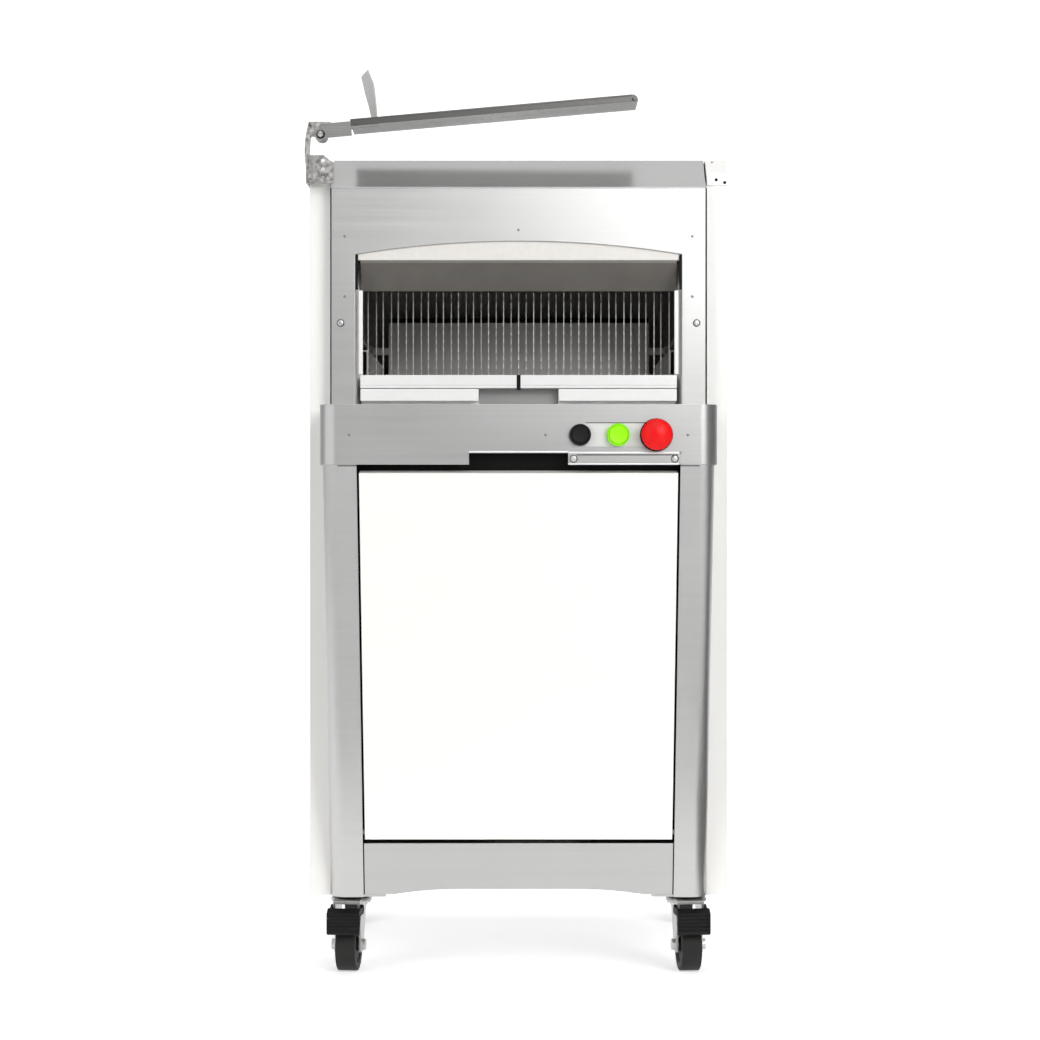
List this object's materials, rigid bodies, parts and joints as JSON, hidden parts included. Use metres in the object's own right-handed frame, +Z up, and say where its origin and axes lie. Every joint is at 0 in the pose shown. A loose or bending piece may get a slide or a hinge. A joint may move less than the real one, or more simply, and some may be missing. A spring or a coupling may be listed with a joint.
{
  "type": "bread slicer machine",
  "caption": "Free-standing bakery bread slicer on casters with reciprocating blade frames, an outfeed table, a tilting crumb door and a swing-up bagging scoop.",
  "frame": {"origin": "on the floor under the middle of the machine", "axes": "+Z up, -Y towards the operator at the outfeed table, +X to the right as seen from there"},
  "size_m": [0.603, 0.7283, 1.2901],
  "materials": {
    "white_paint": "gloss white powder coat",
    "brushed_steel": "brushed",
    "plain_steel": "satin sheet",
    "white_plastic": "food grade, satin",
    "cream_board": "satin",
    "dark_sheet": "satin",
    "black_paint": "matte",
    "blade_steel": "ground",
    "machined_steel": "machined",
    "cast_blocks": "cast",
    "black_plastic": "moulded",
    "green_plastic": "moulded",
    "red_plastic": "moulded",
    "black_rubber": "moulded"
  },
  "bodies": {
    "cabinet": {"left_side_panel": "white_paint", "right_side_panel": "white_paint", "right_corner_bracket": "white_paint", "rear_panel": "white_paint", "cheeks": "white_paint", "top_hood": "brushed_steel", "front_face": "brushed_steel", "outfeed_table": "brushed_steel", "left_leg": "brushed_steel", "right_leg": "brushed_steel", "lower_crossbar": "brushed_steel", "cover_strip": "brushed_steel", "base_plate": "plain_steel", "chassis_plates": "plain_steel", "infeed_table": "plain_steel", "scoop_post": "plain_steel", "scoop_bracket": "plain_steel", "caster_plates": "plain_steel", "rest_plates": "white_plastic", "arch_visor": "cream_board", "lintel": "dark_sheet", "door_frame": "black_paint", "control_box": "black_paint", "hinge_pins": "machined_steel", "panel_screws": "machined_steel", "scoop_pivot_bolt": "machined_steel", "guide_rods": "machined_steel", "bearing_blocks": "cast_blocks", "motor": "cast_blocks", "cord_gland": "black_plastic", "button_collars": "black_plastic", "drive_belt": "black_rubber"},
    "door": {"front_door": "white_paint", "crumb_bin": "plain_steel"},
    "lid": {"loading_lid": "brushed_steel"},
    "scoop": {"scoop_arm": "plain_steel", "bagging_scoop": "plain_steel", "scoop_end_stop": "plain_steel"},
    "pusher": {"pusher": "plain_steel"},
    "rocker": {"rocker_lever": "machined_steel"},
    "front_frame": {"front_blade_frame": "machined_steel", "front_blades": "blade_steel"},
    "rear_frame": {"rear_blade_frame": "machined_steel", "rear_blades": "blade_steel"},
    "crank": {"crankshaft": "machined_steel"},
    "rod": {"connecting_rod": "machined_steel"},
    "motor_shaft": {"motor_pulley": "machined_steel"},
    "front_left_caster": {"front_left_fork": "plain_steel"},
    "front_right_caster": {"front_right_fork": "plain_steel"},
    "rear_left_caster": {"rear_left_fork": "plain_steel"},
    "rear_right_caster": {"rear_right_fork": "plain_steel"},
    "front_left_tyre": {"front_left_wheel": "black_rubber"},
    "front_right_tyre": {"front_right_wheel": "black_rubber"},
    "rear_left_tyre": {"rear_left_wheel": "black_rubber"},
    "rear_right_tyre": {"rear_right_wheel": "black_rubber"},
    "left_pedal": {"left_brake_pedal": "black_plastic"},
    "right_pedal": {"right_brake_pedal": "black_plastic"},
    "black_switch": {"black_button": "black_plastic"},
    "green_switch": {"green_button": "green_plastic"},
    "stop_switch": {"red_stop_button": "red_plastic"}
  },
  "joints": [
    {"name": "blade_rocker", "type": "hinge", "parent": "cabinet", "child": "rocker", "pos_m": [0, -0.105, 0.7], "axis": [1, 0, 0], "range_deg": [-14.3, 14.3]},
    {"name": "front_frame_slide", "type": "slide", "parent": "cabinet", "child": "front_frame", "axis": [0, 0, 1], "range_m": [-0.01, 0.01]},
    {"name": "rear_frame_slide", "type": "slide", "parent": "cabinet", "child": "rear_frame", "axis": [0, 0, 1], "range_m": [-0.01, 0.01]},
    {"name": "crank_spin", "type": "hinge", "parent": "cabinet", "child": "crank", "pos_m": [0, -0.043, 0.47], "axis": [1, 0, 0], "continuous": true},
    {"name": "rod_pivot", "type": "hinge", "parent": "crank", "child": "rod", "pos_m": [0.084, -0.0275, 0.47], "axis": [1, 0, 0], "continuous": true},
    {"name": "motor_spin", "type": "hinge", "parent": "cabinet", "child": "motor_shaft", "pos_m": [0.16, 0.14, 0.195], "axis": [1, 0, 0], "continuous": true},
    {"name": "door_tilt", "type": "hinge", "parent": "cabinet", "child": "door", "pos_m": [0, -0.20738, 0.20872], "axis": [1, 0, 0], "range_deg": [0, 30]},
    {"name": "lid_open", "type": "hinge", "parent": "cabinet", "child": "lid", "pos_m": [0, 0.075, 1.168], "axis": [1, 0, 0], "range_deg": [0, 75]},
    {"name": "scoop_lift", "type": "hinge", "parent": "cabinet", "child": "scoop", "pos_m": [-0.279, -0.225, 1.196], "axis": [0, -1, 0], "range_deg": [0, 85]},
    {"name": "pusher_slide", "type": "slide", "parent": "cabinet", "child": "pusher", "axis": [0, -1, 0], "range_m": [0, 0.33]},
    {"name": "front_left_swivel", "type": "hinge", "parent": "cabinet", "child": "front_left_caster", "pos_m": [-0.244, -0.123, 0.1], "axis": [0, 0, 1], "continuous": true},
    {"name": "front_left_roll", "type": "hinge", "parent": "front_left_caster", "child": "front_left_tyre", "pos_m": [-0.24592, -0.14492, 0.0375], "axis": [0.9962, -0.0872, 0], "continuous": true},
    {"name": "front_right_swivel", "type": "hinge", "parent": "cabinet", "child": "front_right_caster", "pos_m": [0.244, -0.123, 0.1], "axis": [0, 0, 1], "continuous": true},
    {"name": "front_right_roll", "type": "hinge", "parent": "front_right_caster", "child": "front_right_tyre", "pos_m": [0.24592, -0.14492, 0.0375], "axis": [0.9962, 0.0872, 0], "continuous": true},
    {"name": "rear_left_swivel", "type": "hinge", "parent": "cabinet", "child": "rear_left_caster", "pos_m": [-0.266, 0.27, 0.1], "axis": [0, 0, 1], "continuous": true},
    {"name": "rear_left_roll", "type": "hinge", "parent": "rear_left_caster", "child": "rear_left_tyre", "pos_m": [-0.266, 0.248, 0.0375], "axis": [1, 0, 0], "continuous": true},
    {"name": "rear_right_swivel", "type": "hinge", "parent": "cabinet", "child": "rear_right_caster", "pos_m": [0.266, 0.27, 0.1], "axis": [0, 0, 1], "continuous": true},
    {"name": "rear_right_roll", "type": "hinge", "parent": "rear_right_caster", "child": "rear_right_tyre", "pos_m": [0.266, 0.248, 0.0375], "axis": [1, 0, 0], "continuous": true},
    {"name": "left_brake", "type": "hinge", "parent": "front_left_caster", "child": "left_pedal", "pos_m": [-0.24723, -0.15986, 0.0907], "axis": [0.9962, -0.0872, 0], "range_deg": [0, 8]},
    {"name": "right_brake", "type": "hinge", "parent": "front_right_caster", "child": "right_pedal", "pos_m": [0.24723, -0.15986, 0.0907], "axis": [0.9962, 0.0872, 0], "range_deg": [0, 8]},
    {"name": "black_press", "type": "slide", "parent": "cabinet", "child": "black_switch", "axis": [0, 1, 0], "range_m": [0, 0.004], "stiffness_N_per_m": 400},
    {"name": "green_press", "type": "slide", "parent": "cabinet", "child": "green_switch", "axis": [0, 1, 0], "range_m": [0, 0.004], "stiffness_N_per_m": 400},
    {"name": "stop_press", "type": "slide", "parent": "cabinet", "child": "stop_switch", "axis": [0, 1, 0], "range_m": [0, 0.006], "stiffness_N_per_m": 500}
  ],
  "couplings": [
    {"joint": "front_frame_slide", "follows": "blade_rocker", "m_per_rad": -0.04},
    {"joint": "rear_frame_slide", "follows": "blade_rocker", "m_per_rad": 0.04},
    {"joint": "rod_pivot", "follows": "crank_spin", "ratio": -1},
    {"joint": "motor_spin", "follows": "crank_spin", "ratio": 2}
  ]
}
